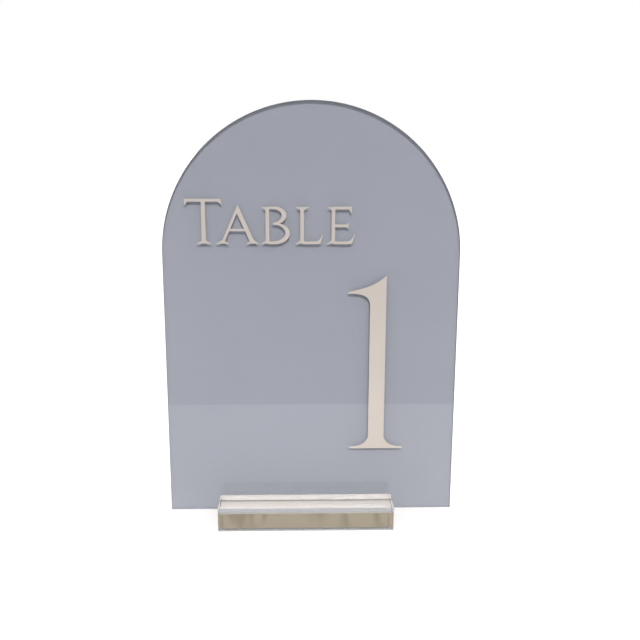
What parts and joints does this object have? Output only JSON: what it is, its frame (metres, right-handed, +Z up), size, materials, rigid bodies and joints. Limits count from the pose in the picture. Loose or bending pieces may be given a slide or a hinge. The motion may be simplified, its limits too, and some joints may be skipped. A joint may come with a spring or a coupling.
{
  "type": "table number sign",
  "caption": "Arched clear sheet backed with coloured film, with metallic film lettering and numeral, standing in a slotted clear block.",
  "frame": {"origin": "middle of the whole sign's footprint, on the surface that it stands on", "axes": "+X to the right as seen from the front, +Y towards the back, +Z up; the lettered front faces -Y"},
  "size_m": [0.148, 0.036, 0.2145],
  "materials": {
    "clear_acrylic": "polished, transparent",
    "blue_film": "smooth dusty blue film",
    "metallic_film": "satin pale rose gold film"
  },
  "bodies": {
    "base": {"base_block": "clear_acrylic"},
    "sign": {"arched_sheet": "clear_acrylic", "colour_backing": "blue_film", "letter_t": "metallic_film", "letter_a": "metallic_film", "letter_b": "metallic_film", "letter_l": "metallic_film", "letter_e": "metallic_film", "numeral_1": "metallic_film"}
  },
  "joints": [
    {"name": "sheet_lift", "type": "slide", "parent": "base", "child": "sign", "axis": [0, 0, 1], "range_m": [0, 0.03]}
  ]
}
